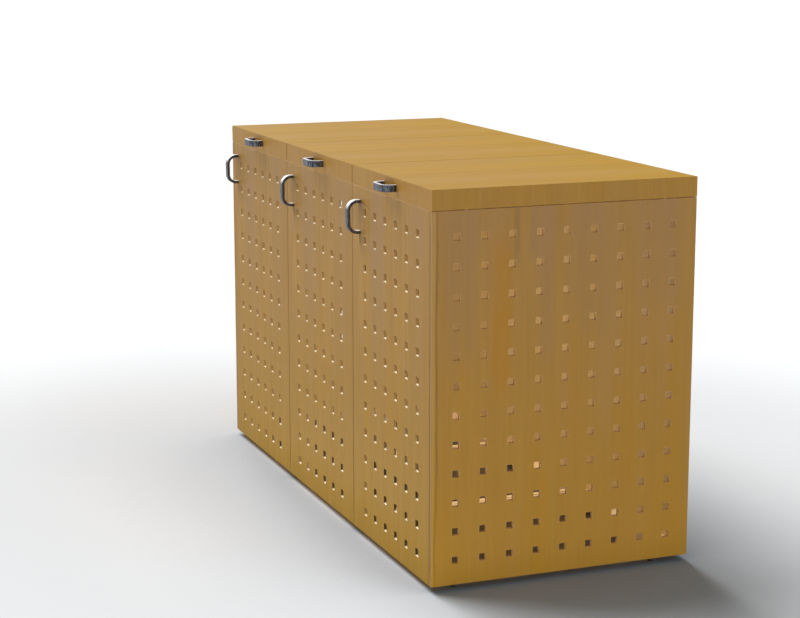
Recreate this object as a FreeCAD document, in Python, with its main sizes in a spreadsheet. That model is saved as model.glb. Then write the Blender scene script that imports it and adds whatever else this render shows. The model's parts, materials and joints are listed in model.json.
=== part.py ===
import FreeCAD, Part
import os

# Recycling bin station: a three-bay street enclosure in timber-faced board.
# Millimetres. X runs along the front from left to right, Y from the doors to
# the back, Z up. The origin is on the floor at the middle of the footprint.
# Heights below are given from the underside of the boards; the levelling feet
# lift that underside by leg_h. Depths are given from the middle of the carcass;
# y_shift moves them so that the handles and the rear hinges are centred.

doc = FreeCAD.newDocument("recycling_bin_station")
sheet = doc.addObject("Spreadsheet::Sheet", "Sheet")

SIZES = [
    ("body_w", 2034), ("body_d", 880), ("panel_h", 1146), ("leg_h", 20),
    ("y_shift", 19.3), ("bay", 678),
    ("side_t", 12), ("back_t", 12), ("door_t", 7),
    ("vent", 22), ("sill_fall", 2.5), ("vent_pitch", 90), ("vent_rows", 12), ("vent_low", 77.5),
    ("side_vent_y", 80), ("side_cols", 9), ("door_cols", 6),
    ("base_h", 30), ("base_w", 60), ("base_side_w", 50), ("front_set", 7.5),
    ("post_w", 27.8), ("post_d", 45), ("top_h", 38), ("top_w", 30), ("top_div_w", 45),
    ("dh_r", 2.2), ("dh_bore", 1.15), ("dh_pin", 1.1), ("dh_leaf", 1.0),
    ("dh_side", 2.5), ("dh_post", 2.2), ("dh_low", 40), ("dh_len", 1060),
    ("dh_step", 106), ("dh_n", 10), ("dh_wing", 25), ("dh_cut", 3.1), ("knuckle_gap", 0.2),
    ("lid_h", 62), ("lid_gap", 2), ("lid_t", 12), ("lid_seam", 4),
    ("lh_r", 3), ("lh_bore", 1.55), ("lh_pin", 1.5), ("lh_leaf", 1.2), ("lh_off", 3.4),
    ("lh_len", 600), ("lh_step", 60), ("lh_n", 10), ("lh_wing", 30), ("lh_cut", 3.6),
    ("grip_cc", 100), ("grip_out", 45), ("grip_t", 10), ("grip_w", 22),
    ("grip_r", 34), ("grip_r_in", 24), ("grip_door_z", 1050), ("grip_door_x", 68), ("grip_lid_z", 1180),
    ("screw_r", 3), ("screw_hole_r", 3.1), ("screw_len", 18), ("screw_head_r", 5.5), ("screw_head_h", 3.5),
    ("foot_r", 16), ("foot_top_r", 10), ("foot_h", 11), ("stud_r", 5), ("stud_hole_r", 5.2), ("stud_len", 37),
    ("foot_x", 975), ("foot_y", 340),
    ("anchor_r", 5.5), ("anchor_x", 980), ("anchor_y", 250),
    ("bump_r", 4.5), ("bump_h", 1.7), ("bump_y", 330),
    ("catch_w", 15), ("catch_d", 30), ("catch_h", 60), ("catch_z", 850), ("catch_gap", 1.8),
    ("strike_w", 28), ("strike_t", 1.5),
]
for i, (name, value) in enumerate(SIZES):
    sheet.set("A%d" % (i + 1), name)
    sheet.set("B%d" % (i + 1), str(value))
    sheet.setAlias("B%d" % (i + 1), name)
doc.recompute()

V = FreeCAD.Vector
NODES = []


def S(text):
    """Turn $name into a reference to the sheet."""
    return text.replace("$", "Sheet.")


def bind(obj, **props):
    for prop, text in props.items():
        obj.setExpression(prop, S(text))


def place(obj, x, y, z, raw=False):
    obj.setExpression("Placement.Base.x", S(x))
    obj.setExpression("Placement.Base.y", S(y) + " + Sheet.y_shift")
    obj.setExpression("Placement.Base.z", S(z) + ("" if raw else " + Sheet.leg_h"))


def node(obj, name):
    obj.Label = name
    NODES.append((name, obj))
    return obj


def box(name, lx, ly, lz, x, y, z):
    b = doc.addObject("Part::Box", name)
    bind(b, Length=lx, Width=ly, Height=lz)
    place(b, x, y, z)
    return b


def cyl(name, r, h, x, y, z, way="z", raw=False):
    c = doc.addObject("Part::Cylinder", name)
    bind(c, Radius=r, Height=h)
    if way == "y":
        c.Placement.Rotation = FreeCAD.Rotation(V(1, 0, 0), -90)
    elif way == "x":
        c.Placement.Rotation = FreeCAD.Rotation(V(0, 1, 0), 90)
    place(c, x, y, z, raw)
    return c


def cut(name, base, tools):
    if len(tools) == 1:
        tool = tools[0]
    else:
        tool = doc.addObject("Part::MultiFuse", name + "_tools")
        tool.Shapes = tools
    c = doc.addObject("Part::Cut", name)
    c.Base = base
    c.Tool = tool
    return c


def group(name, shapes):
    g = doc.addObject("Part::Compound", name)
    g.Links = shapes
    return node(g, name)


def plane(body, role):
    for f in body.Origin.OriginFeatures:
        if f.Role == role:
            return f
    raise RuntimeError(role)


def sketch(body, name, role):
    s = body.newObject("Sketcher::SketchObject", name)
    s.AttachmentSupport = (plane(body, role), [""])
    s.MapMode = "FlatFace"
    return s


import Sketcher


def pos(s, geo, point, x, y):
    """Fix a vertex at x, y; each is an expression, or None for zero."""
    for kind, value in (("DistanceX", x), ("DistanceY", y)):
        if value is None:
            s.addConstraint(Sketcher.Constraint("PointOnObject", geo, point, -2 if kind == "DistanceX" else -1))
        else:
            c = s.addConstraint(Sketcher.Constraint(kind, -1, 1, geo, point, num(value)))
            s.setExpression("Constraints[%d]" % c, S(value))


def num(text):
    """Value of a sheet expression, for the starting shape of a sketch."""
    names = dict(SIZES)
    out, word = "", ""
    for ch in text + " ":
        if ch == "$" or (word and (ch.isalnum() or ch == "_")):
            word += ch
            continue
        if word:
            out += repr(float(names[word[1:]]))
            word = ""
        out += ch
    return calc(out)


def calc(text):
    """Small evaluator for + - * / and brackets."""
    toks, i = [], 0
    while i < len(text):
        ch = text[i]
        if ch in "+-*/()":
            toks.append(ch)
            i += 1
        elif ch.isdigit() or ch == ".":
            j = i
            while j < len(text) and (text[j].isdigit() or text[j] in ".e"):
                j += 1
            toks.append(float(text[i:j]))
            i = j
        else:
            i += 1
    at = [0]

    def atom():
        t = toks[at[0]]
        at[0] += 1
        if t == "(":
            v = add()
            at[0] += 1
            return v
        if t == "-":
            return -atom()
        if t == "+":
            return atom()
        return t

    def mul():
        v = atom()
        while at[0] < len(toks) and toks[at[0]] in ("*", "/"):
            op = toks[at[0]]
            at[0] += 1
            w = atom()
            v = v * w if op == "*" else v / w
        return v

    def add():
        v = mul()
        while at[0] < len(toks) and toks[at[0]] in ("+", "-"):
            op = toks[at[0]]
            at[0] += 1
            w = mul()
            v = v + w if op == "+" else v - w
        return v

    return add()


def rect(s, x0, y0, x1, y1):
    a, b, c, d = num(x0), num(y0), num(x1), num(y1)
    p = [V(a, b, 0), V(c, b, 0), V(c, d, 0), V(a, d, 0)]
    g = s.addGeometry([Part.LineSegment(p[k], p[(k + 1) % 4]) for k in range(4)], False)
    for k in range(4):
        s.addConstraint(Sketcher.Constraint("Coincident", g[k], 2, g[(k + 1) % 4], 1))
    for k in (0, 2):
        s.addConstraint(Sketcher.Constraint("Horizontal", g[k]))
    for k in (1, 3):
        s.addConstraint(Sketcher.Constraint("Vertical", g[k]))
    pos(s, g[0], 1, x0, y0)
    pos(s, g[1], 2, x1, y1)


def outline(s, *points):
    """Closed outline through the given points, each placed from the sheet."""
    p = [V(num(x), num(y), 0) for x, y in points]
    n = len(p)
    g = s.addGeometry([Part.LineSegment(p[k], p[(k + 1) % n]) for k in range(n)], False)
    for k in range(n):
        s.addConstraint(Sketcher.Constraint("Coincident", g[k], 2, g[(k + 1) % n], 1))
        pos(s, g[k], 1, *points[k])


def circle(s, x, y, r):
    g = s.addGeometry(Part.Circle(V(num(x), num(y), 0), V(0, 0, 1), num(r)), False)
    pos(s, g, 3, x, y)
    c = s.addConstraint(Sketcher.Constraint("Radius", g, num(r)))
    s.setExpression("Constraints[%d]" % c, S(r))


def pad(body, name, sk, length, flip=False):
    p = body.newObject("PartDesign::Pad", name)
    p.Profile = sk
    p.setExpression("Length", S(length))
    p.Reversed = flip
    sk.Visibility = False
    return p


def pocket(body, name, sk, flip=False, length=None):
    p = body.newObject("PartDesign::Pocket", name)
    p.Profile = sk
    if length is None:
        p.Type = 1
        p.Midplane = True
    else:
        p.Type = 0
        p.setExpression("Length", S(length))
    p.Reversed = flip
    sk.Visibility = False
    return p


def pattern(body, name, feature, sk, axis, step, count):
    lp = body.newObject("PartDesign::LinearPattern", name)
    lp.Originals = [feature]
    lp.Direction = (sk, [axis])
    lp.setExpression("Length", S("%s * (%s - 1)" % (step, count)))
    lp.setExpression("Occurrences", S(count))
    body.Tip = lp
    return lp


# ---------------------------------------------------------------- carcass
def side_panel(name, x):
    """Upright board with a grid of square vents, 9 across and 12 high."""
    body = doc.addObject("PartDesign::Body", name)
    s = sketch(body, name + "_outline", "YZ_Plane")
    rect(s, "0", "0", "$body_d", "$panel_h")
    pad(body, name + "_board", s, "$side_t")
    h = sketch(body, name + "_vent_row", "YZ_Plane")
    for k in range(9):
        mid = "$side_vent_y + %d * $vent_pitch" % k
        rect(h, mid + " - $vent / 2", "$vent_low - $vent / 2", mid + " + $vent / 2", "$vent_low + $vent / 2")
    p = pocket(body, name + "_vents", h)
    pattern(body, name + "_vent_rows", p, h, "V_Axis", "$vent_pitch", "$vent_rows")
    place(body, x, "-$body_d / 2", "0")
    return node(body, name)


side_panel("side_panel_left", "-$body_w / 2")
side_panel("side_panel_right", "$body_w / 2 - $side_t")

node(box("back_panel", "$body_w - 2 * $side_t", "$back_t", "$panel_h",
         "-$body_w / 2 + $side_t", "$body_d / 2 - $back_t", "0"), "back_panel")

# Base rails lie on edge of the floor opening; each bay is open at the front so
# that a wheeled bin rolls straight in.
RAIL_Y0 = "-$body_d / 2 + $front_set"
RAIL_Y1 = "$body_d / 2 - $back_t - $base_w"
node(box("base_rail_rear", "$body_w - 2 * $side_t", "$base_w", "$base_h",
         "-$body_w / 2 + $side_t", RAIL_Y1, "0"), "base_rail_rear")


def base_rail(name, x, w, feet, anchors=None):
    raw = box(name + "_batten", w, "$body_d - $front_set - $back_t - $base_w", "$base_h", x, RAIL_Y0, "0")
    tools = []
    for k, sy in enumerate(("-", "")):
        tools.append(cyl(name + "_stud_hole_%d" % k, "$stud_hole_r", "$base_h + 2", feet, sy + "$foot_y", "-1"))
        if anchors:
            tools.append(cyl(name + "_anchor_hole_%d" % k, "$anchor_r", "$base_h + 2", anchors, sy + "$anchor_y", "-1"))
    node(cut(name, raw, tools), name)


base_rail("base_rail_left", "-$body_w / 2 + $side_t", "$base_side_w", "-$foot_x", "-$anchor_x")
base_rail("base_rail_right", "$body_w / 2 - $side_t - $base_side_w", "$base_side_w", "$foot_x", "$anchor_x")
base_rail("base_rail_divider_left", "-$bay / 2 - $base_w / 2", "$base_w", "-$bay / 2")
base_rail("base_rail_divider_right", "$bay / 2 - $base_w / 2", "$base_w", "$bay / 2")

POST_H = "$panel_h - $top_h - $base_h"
node(box("post_front_left", "$post_w", "$post_d", POST_H, "-$body_w / 2 + $side_t", RAIL_Y0, "$base_h"), "post_front_left")
node(box("post_divider_left", "$post_w", "$post_d", POST_H, "-$bay / 2 + $dh_post", RAIL_Y0, "$base_h"), "post_divider_left")
node(box("post_divider_right", "$post_w", "$post_d", POST_H, "$bay / 2 + $dh_post", RAIL_Y0, "$base_h"), "post_divider_right")

TOP_Z = "$panel_h - $top_h"
node(box("top_rail_front", "$body_w - 2 * $side_t", "$top_w", "$top_h", "-$body_w / 2 + $side_t", RAIL_Y0, TOP_Z), "top_rail_front")
node(box("top_rail_rear", "$body_w - 2 * $side_t", "$top_w", "$top_h", "-$body_w / 2 + $side_t",
         "$body_d / 2 - $back_t - $top_w", TOP_Z), "top_rail_rear")
TOP_LEN = "$body_d - $front_set - $back_t - 2 * $top_w"
TOP_Y0 = "-$body_d / 2 + $front_set + $top_w"
node(box("top_rail_left", "$top_w", TOP_LEN, "$top_h", "-$body_w / 2 + $side_t", TOP_Y0, TOP_Z), "top_rail_left")
node(box("top_rail_right", "$top_w", TOP_LEN, "$top_h", "$body_w / 2 - $side_t - $top_w", TOP_Y0, TOP_Z), "top_rail_right")
node(box("top_rail_divider_left", "$top_div_w", TOP_LEN, "$top_h", "-$bay / 2 - $top_div_w / 2", TOP_Y0, TOP_Z), "top_rail_divider_left")
node(box("top_rail_divider_right", "$top_div_w", TOP_LEN, "$top_h", "$bay / 2 - $top_div_w / 2", TOP_Y0, TOP_Z), "top_rail_divider_right")

# Levelling feet: a tapered pad and a stud at both ends of the four base rails
# that run front to back.
FEET = [(x, sy) for x in ("-$foot_x", "-$bay / 2", "$bay / 2", "$foot_x") for sy in ("-", "")]
pads, studs = [], []
for k, (x, sy) in enumerate(FEET):
    c = doc.addObject("Part::Cone", "foot_pad_%d" % k)
    bind(c, Radius1="$foot_r", Radius2="$foot_top_r", Height="$foot_h")
    place(c, x, sy + "$foot_y", "0", raw=True)
    pads.append(c)
    studs.append(cyl("foot_stud_%d" % k, "$stud_r", "$stud_len", x, sy + "$foot_y", "$foot_h", raw=True))
group("foot_pads", pads)
group("foot_studs", studs)

# Soft buttons under the rims of the lids, on the side boards and divider rails.
buttons = []
for k, x in enumerate(("-$body_w / 2 + $side_t / 2", "-$bay / 2 - $lid_seam / 2 - $lid_t / 2", "-$bay / 2 + $lid_seam / 2 + $lid_t / 2",
                       "$bay / 2 - $lid_seam / 2 - $lid_t / 2", "$bay / 2 + $lid_seam / 2 + $lid_t / 2", "$body_w / 2 - $side_t / 2")):
    for j, sy in enumerate(("-", "")):
        buttons.append(cyl("lid_button_%d_%d" % (k, j), "$bump_r", "$bump_h", x, sy + "$bump_y", "$panel_h"))
group("lid_bumpers", buttons)

# ---------------------------------------------------------------- hardware
def bow_handle(name, upright, x, y, z):
    """Bow of flat bar: two legs, rounded corners and a straight grip.
    The profile is drawn with the legs' feet on the sketch's vertical axis."""
    body = doc.addObject("PartDesign::Body", name)
    s = sketch(body, name + "_profile", "YZ_Plane")
    o, h, t = num("$grip_out"), num("$grip_cc / 2 + $grip_t / 2"), num("$grip_t")
    R, r = num("$grip_r"), num("$grip_r_in")
    import math
    P = [V(0, -h, 0), V(-(o - R), -h, 0), V(-o, -(h - R), 0), V(-o, h - R, 0), V(-(o - R), h, 0), V(0, h, 0),
         V(0, h - t, 0), V(-(o - t - r), h - t, 0), V(-(o - t), h - t - r, 0), V(-(o - t), -(h - t - r), 0),
         V(-(o - t - r), -(h - t), 0), V(0, -(h - t), 0)]

    def arc(c, rad, a0, a1):
        return Part.ArcOfCircle(Part.Circle(c, V(0, 0, 1), rad), math.radians(a0), math.radians(a1))

    L = Part.LineSegment
    g = s.addGeometry([
        L(P[0], P[1]), arc(V(-(o - R), -(h - R), 0), R, 180, 270), L(P[2], P[3]), arc(V(-(o - R), h - R, 0), R, 90, 180),
        L(P[4], P[5]), L(P[5], P[6]), L(P[6], P[7]), arc(V(-(o - t - r), h - t - r, 0), r, 90, 180), L(P[8], P[9]),
        arc(V(-(o - t - r), -(h - t - r), 0), r, 180, 270), L(P[10], P[11]), L(P[11], P[0])], False)
    C = Sketcher.Constraint
    # every corner point is placed from the sheet, and each arc by its radius
    for a, pa, b, pb in ((0, 2, 1, 2), (1, 1, 2, 1), (2, 2, 3, 2), (3, 1, 4, 1), (4, 2, 5, 1), (5, 2, 6, 1),
                         (6, 2, 7, 1), (7, 2, 8, 1), (8, 2, 9, 1), (9, 2, 10, 1), (10, 2, 11, 1), (11, 2, 0, 1)):
        s.addConstraint(C("Coincident", g[a], pa, g[b], pb))
    half, inner = "$grip_cc / 2 + $grip_t / 2", "$grip_cc / 2 - $grip_t / 2"
    out_turn, in_turn = "-($grip_out - $grip_r)", "-($grip_out - $grip_t - $grip_r_in)"
    out_face, in_face = "-$grip_out", "-($grip_out - $grip_t)"
    for k, pt, x_, y_ in ((0, 1, None, "-(%s)" % half), (0, 2, out_turn, "-(%s)" % half),
                          (2, 1, out_face, "-(%s - $grip_r)" % half), (2, 2, out_face, "%s - $grip_r" % half),
                          (4, 1, out_turn, half), (4, 2, None, half),
                          (6, 1, None, inner), (6, 2, in_turn, inner),
                          (8, 1, in_face, "%s - $grip_r_in" % inner), (8, 2, in_face, "-(%s - $grip_r_in)" % inner),
                          (10, 1, in_turn, "-(%s)" % inner), (10, 2, None, "-(%s)" % inner)):
        pos(s, g[k], pt, x_, y_)
    for k, text in ((1, "$grip_r"), (3, "$grip_r"), (7, "$grip_r_in"), (9, "$grip_r_in")):
        c = s.addConstraint(C("Radius", g[k], num(text)))
        s.setExpression("Constraints[%d]" % c, S(text))
    p = pad(body, name + "_bar", s, "$grip_w")
    p.Midplane = True
    hs = sketch(body, name + "_tapping", "XZ_Plane")
    circle(hs, "0", "-$grip_cc / 2", "$screw_hole_r")
    circle(hs, "0", "$grip_cc / 2", "$screw_hole_r")
    k = pocket(body, name + "_tappings", hs, flip=True, length="$screw_len - 4")
    body.Tip = k
    if not upright:
        body.Placement.Rotation = FreeCAD.Rotation(V(0, 1, 0), 90)
    place(body, x, y, z)
    return node(body, name)


def handle_screws(name, way, x, y, z):
    """Two screws from behind the board; y is the board's inner face."""
    out = []
    for k, sgn in enumerate((" - ", " + ")):
        px = x + sgn + "$grip_cc / 2" if way == "x" else x
        pz = z + sgn + "$grip_cc / 2" if way == "z" else z
        head = cyl("%s_head_%d" % (name, k), "$screw_head_r", "$screw_head_h", px, y, pz, "y")
        shank = cyl("%s_shank_%d" % (name, k), "$screw_r", "$screw_len", px, y + " - $screw_len", pz, "y")
        f = doc.addObject("Part::MultiFuse", "%s_%d" % (name, k))
        f.Shapes = [head, shank]
        out.append(f)
    return group(name, out)


def leaf(name, ring, plates, length, axis_role):
    """One wing of a continuous hinge: a tube along the pin, one or two plates,
    and slots where the other wing's knuckles sit. Drawn across the pin."""
    body = doc.addObject("PartDesign::Body", name)
    s = sketch(body, name + "_tube_profile", axis_role)
    circle(s, "0", "0", ring[0])
    circle(s, "0", "0", ring[1])
    pad(body, name + "_tube", s, length)
    for k, (x0, y0, x1, y1) in enumerate(plates):
        s = sketch(body, name + "_plate_profile_%d" % k, axis_role)
        rect(s, x0, y0, x1, y1)
        pad(body, name + "_plate_%d" % k, s, length)
    return body


# Door hinges: continuous hinge on each door's right edge, its pin in the joint
# beside the door. Sketch plane XY (pin along Z), local origin on the pin.
def door_hinge(side, axis_x, plate_out):
    z0 = "$dh_low"
    r, b = "$dh_r", "$dh_bore"
    half = "$dh_step / 2"
    # fixed wing: plate runs back along the post or side board
    name = "door_hinge_fixed_" + side
    body = leaf(name, (r, b), [(plate_out + " - $dh_leaf", "0", plate_out, "$dh_wing")], "$dh_len", "XY_Plane")
    s = sketch(body, name + "_slot", "YZ_Plane")
    rect(s, "-$dh_r - 1", half + " - $knuckle_gap", "$dh_cut", "$dh_step + $knuckle_gap")
    p = pocket(body, name + "_slots", s)
    pattern(body, name + "_slot_row", p, s, "V_Axis", "$dh_step", "$dh_n")
    place(body, axis_x, "-$body_d / 2 + $dh_r", z0)
    node(body, name)
    # moving wing: round the door's edge and along its inner face
    name = "door_hinge_moving_" + side
    ydoor = "$door_t - $dh_r"
    body = leaf(name, (r, b), [("-$dh_side", "0", "-$dh_side + $dh_leaf", ydoor + " + $dh_leaf"),
                               ("-$dh_side - $dh_wing", ydoor, "-$dh_side + $dh_leaf", ydoor + " + $dh_leaf")],
                "$dh_len", "XY_Plane")
    s = sketch(body, name + "_slot", "YZ_Plane")
    rect(s, "-$dh_r - 1", "-$knuckle_gap", "$dh_cut", half + " + $knuckle_gap")
    p = pocket(body, name + "_slots", s)
    pattern(body, name + "_slot_row", p, s, "V_Axis", "$dh_step", "$dh_n")
    place(body, axis_x, "-$body_d / 2 + $dh_r", z0)
    node(body, name)


AXIS_L = "-$bay / 2"
AXIS_M = "$bay / 2"
AXIS_R = "$body_w / 2 - $side_t - $dh_side"
door_hinge("left", AXIS_L, "$dh_post")
door_hinge("middle", AXIS_M, "$dh_post")
door_hinge("right", AXIS_R, "$dh_side")
group("door_hinge_pins", [cyl("door_hinge_pin_" + s, "$dh_pin", "$dh_len", a, "-$body_d / 2 + $dh_r", "$dh_low")
                          for s, a in (("left", AXIS_L), ("middle", AXIS_M), ("right", AXIS_R))])

# ---------------------------------------------------------------- doors
DOORS = [  # side, left edge, right edge, bay middle, bay left edge
    ("left", "-$body_w / 2 + $side_t + 3", AXIS_L + " - $dh_side", "-$bay", "-$body_w / 2", "-$body_w / 2 + $side_t + $post_w"),
    ("middle", AXIS_L + " + $dh_side", AXIS_M + " - $dh_side", "0", "-$bay / 2", "-$bay / 2 + $dh_post + $post_w"),
    ("right", AXIS_M + " + $dh_side", AXIS_R + " - $dh_side", "$bay", "$bay / 2", "$bay / 2 + $dh_post + $post_w"),
]
catches = []
for side, x0, x1, mid, edge, post in DOORS:
    name = "door_panel_" + side
    body = doc.addObject("PartDesign::Body", name)
    s = sketch(body, name + "_outline", "XZ_Plane")
    rect(s, "0", "0", "(%s) - (%s)" % (x1, x0), "$panel_h")
    pad(body, name + "_board", s, "$door_t", flip=True)
    h = sketch(body, name + "_vent_row", "XZ_Plane")
    for k in range(6):
        c = "(%s) - (%s) + (%d) * $vent_pitch / 2" % (mid, x0, 2 * k - 5)
        rect(h, c + " - $vent / 2", "$vent_low - $vent / 2", c + " + $vent / 2", "$vent_low + $vent / 2")
    p = pocket(body, name + "_vents", h)
    pattern(body, name + "_vent_rows", p, h, "V_Axis", "$vent_pitch", "$vent_rows")
    # each vent's sill falls towards the outside
    w = sketch(body, name + "_sill_column", "YZ_Plane")
    w.setExpression("AttachmentOffset.Base.z", S("(%s) - (%s) - 5 * $vent_pitch / 2 - $vent / 2" % (mid, x0)))
    for k in range(12):
        low = "$vent_low - $vent / 2 + %d * $vent_pitch" % k
        outline(w, ("$door_t", low + " + 0.5"), ("$door_t", low), ("0", low + " - $sill_fall"), ("0", low + " + 0.5"))
    p = pocket(body, name + "_sills", w, flip=True, length="$vent")
    pattern(body, name + "_sill_columns", p, w, "N_Axis", "$vent_pitch", "$door_cols")
    hs = sketch(body, name + "_handle_holes", "XZ_Plane")
    for sgn in ("-", "+"):
        circle(hs, "(%s) + $grip_door_x - (%s)" % (edge, x0), "$grip_door_z %s $grip_cc / 2" % sgn, "$screw_hole_r")
    p = pocket(body, name + "_handle_bores", hs)
    body.Tip = p
    place(body, x0, "-$body_d / 2", "0")
    node(body, name)
    gx = "(%s) + $grip_door_x" % edge
    bow_handle("door_handle_" + side, True, gx, "-$body_d / 2", "$grip_door_z")
    handle_screws("door_handle_screws_" + side, "z", gx, "-$body_d / 2 + $door_t", "$grip_door_z")
    node(box("door_strike_" + side, "$strike_w", "$strike_t", "$catch_h", post + " + 1", "-$body_d / 2 + $door_t", "$catch_z"),
         "door_strike_" + side)
    catches.append(box("door_catch_" + side, "$catch_w", "$catch_d", "$catch_h", post,
                       "-$body_d / 2 + $door_t + $catch_gap", "$catch_z"))
group("door_catches", catches)

# ---------------------------------------------------------------- lids
LIDS = [
    ("left", "-$body_w / 2", "-$bay / 2 - $lid_seam / 2", "-$bay"),
    ("middle", "-$bay / 2 + $lid_seam / 2", "$bay / 2 - $lid_seam / 2", "0"),
    ("right", "$bay / 2 + $lid_seam / 2", "$body_w / 2", "$bay"),
]
LID_Z = "$panel_h + $lid_gap"
for side, x0, x1, mid in LIDS:
    wide = "((%s) - (%s))" % (x1, x0)

    def top_board(nm):
        # board with its four edges mitred to meet the rim
        w = doc.addObject("Part::Wedge", nm)
        bind(w, Xmin="0", Ymin="0", Zmin="0", X2min="0", Z2min="0",
             Xmax=wide, Ymax="$lid_t", Zmax="$body_d", X2max=wide, Z2max="$body_d")
        bind(w, Xmin="$lid_t", Xmax=wide + " - $lid_t", Zmin="$lid_t", Zmax="$body_d - $lid_t")
        # the wedge tapers along its own Y; turn it so that this is up
        w.Placement.Rotation = FreeCAD.Rotation(V(1, 0, 0), 90)
        place(w, x0, "$body_d / 2", LID_Z + " + $lid_h - $lid_t")
        return w

    node(top_board("lid_top_" + side), "lid_top_" + side)
    name = "lid_rim_" + side
    outer = box(name + "_outer", wide, "$body_d", "$lid_h", x0, "-$body_d / 2", LID_Z)
    inner = box(name + "_inner", wide + " - 2 * $lid_t", "$body_d - 2 * $lid_t", "$lid_h + 2",
                x0 + " + $lid_t", "-$body_d / 2 + $lid_t", LID_Z + " - 1")
    tools = [inner, top_board(name + "_mitre")]
    for k, sgn in enumerate(("-", "+")):
        tools.append(cyl("%s_bore_%d" % (name, k), "$screw_hole_r", "$lid_t + 2", "%s %s $grip_cc / 2" % (mid, sgn),
                         "-$body_d / 2 - 1", "$grip_lid_z", "y"))
    c1 = doc.addObject("Part::Cut", name + "_a")
    c1.Base, c1.Tool = outer, tools[0]
    c2 = doc.addObject("Part::Cut", name + "_b")
    c2.Base, c2.Tool = c1, tools[1]
    c3 = doc.addObject("Part::Cut", name + "_c")
    c3.Base, c3.Tool = c2, tools[2]
    c4 = doc.addObject("Part::Cut", name)
    c4.Base, c4.Tool = c3, tools[3]
    node(c4, name)
    bow_handle("lid_handle_" + side, False, mid, "-$body_d / 2", "$grip_lid_z")
    handle_screws("lid_handle_screws_" + side, "x", mid, "-$body_d / 2 + $lid_t", "$grip_lid_z")
    # continuous hinge on the back, its pin in the joint under the lid
    half = "$lh_step / 2"
    for kind in ("fixed", "moving"):
        name = "lid_hinge_%s_%s" % (kind, side)
        body = doc.addObject("PartDesign::Body", name)
        s = sketch(body, name + "_tube_profile", "YZ_Plane")
        circle(s, "0", "0", "$lh_r")
        circle(s, "0", "0", "$lh_bore")
        pad(body, name + "_tube", s, "$lh_len")
        s = sketch(body, name + "_plate_profile", "YZ_Plane")
        if kind == "fixed":
            rect(s, "-$lh_off", "-$lh_wing", "-$lh_off + $lh_leaf", "0")
        else:
            rect(s, "-$lh_off", "0", "-$lh_off + $lh_leaf", "$lh_wing")
        pad(body, name + "_plate", s, "$lh_len")
        s = sketch(body, name + "_slot", "XZ_Plane")
        if kind == "fixed":
            rect(s, half + " - $knuckle_gap", "-$lh_cut", "$lh_step + $knuckle_gap", "$lh_r + 1")
        else:
            rect(s, "-$knuckle_gap", "-$lh_r - 1", half + " + $knuckle_gap", "$lh_cut")
        p = pocket(body, name + "_slots", s)
        pattern(body, name + "_slot_row", p, s, "H_Axis", "$lh_step", "$lh_n")
        place(body, mid + " - $lh_len / 2", "$body_d / 2 + $lh_off", "$panel_h + $lid_gap / 2")
        node(body, name)
group("lid_hinge_pins", [cyl("lid_hinge_pin_" + side, "$lh_pin", "$lh_len", mid + " - $lh_len / 2",
                             "$body_d / 2 + $lh_off", "$panel_h + $lid_gap / 2", "x") for side, x0, x1, mid in LIDS])

# ---------------------------------------------------------------- output
doc.recompute()
bad = [o.Label + " " + str(o.State) for o in doc.Objects if "Invalid" in o.State or "Error" in o.State]
if bad:
    raise RuntimeError("failed features: " + ", ".join(bad))
os.makedirs("parts", exist_ok=True)
for f in os.listdir("parts"):
    if f.endswith(".step"):
        os.remove(os.path.join("parts", f))
lo, hi = V(1e9, 1e9, 1e9), V(-1e9, -1e9, -1e9)
for name, obj in NODES:
    shape = obj.Shape
    if shape.isNull() or not shape.isValid():
        raise RuntimeError("bad shape: " + name)
    bb = shape.BoundBox
    lo = V(min(lo.x, bb.XMin), min(lo.y, bb.YMin), min(lo.z, bb.ZMin))
    hi = V(max(hi.x, bb.XMax), max(hi.y, bb.YMax), max(hi.z, bb.ZMax))
    shape.exportStep("parts/%s.step" % name)
    print("%-28s solids %2d  vol %12.1f  x %8.1f %8.1f  y %8.1f %8.1f  z %8.1f %8.1f" % (
        name, len(shape.Solids), shape.Volume, bb.XMin, bb.XMax, bb.YMin, bb.YMax, bb.ZMin, bb.ZMax))
print(len(NODES), "nodes; box", lo, hi)
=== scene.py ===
import json
import math
import bpy
import bmesh
from mathutils import Vector, Matrix

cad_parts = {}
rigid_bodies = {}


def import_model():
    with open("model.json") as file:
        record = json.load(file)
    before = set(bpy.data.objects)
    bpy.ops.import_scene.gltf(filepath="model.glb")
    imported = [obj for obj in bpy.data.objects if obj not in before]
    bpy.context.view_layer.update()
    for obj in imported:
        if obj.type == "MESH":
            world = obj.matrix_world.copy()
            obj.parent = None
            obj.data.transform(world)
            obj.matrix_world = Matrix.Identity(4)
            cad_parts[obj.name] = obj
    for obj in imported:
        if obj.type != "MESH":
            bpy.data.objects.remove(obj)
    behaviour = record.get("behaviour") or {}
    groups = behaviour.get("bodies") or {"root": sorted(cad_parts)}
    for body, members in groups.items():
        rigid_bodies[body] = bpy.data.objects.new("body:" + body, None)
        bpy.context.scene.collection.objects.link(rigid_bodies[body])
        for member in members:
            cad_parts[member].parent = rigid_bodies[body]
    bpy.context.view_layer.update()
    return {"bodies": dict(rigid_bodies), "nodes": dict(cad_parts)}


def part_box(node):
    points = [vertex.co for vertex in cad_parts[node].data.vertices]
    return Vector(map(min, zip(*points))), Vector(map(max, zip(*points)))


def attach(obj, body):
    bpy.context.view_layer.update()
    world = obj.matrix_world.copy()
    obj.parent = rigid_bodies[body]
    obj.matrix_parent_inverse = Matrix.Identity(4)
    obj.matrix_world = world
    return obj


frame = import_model()
NODES = frame["nodes"]
BODIES = frame["bodies"]
SIDES = ("left", "middle", "right")

scene = bpy.context.scene
scene.view_settings.view_transform = "Standard"
scene.view_settings.look = "None"
scene.view_settings.exposure = 0.0
scene.view_settings.gamma = 1.0


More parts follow.
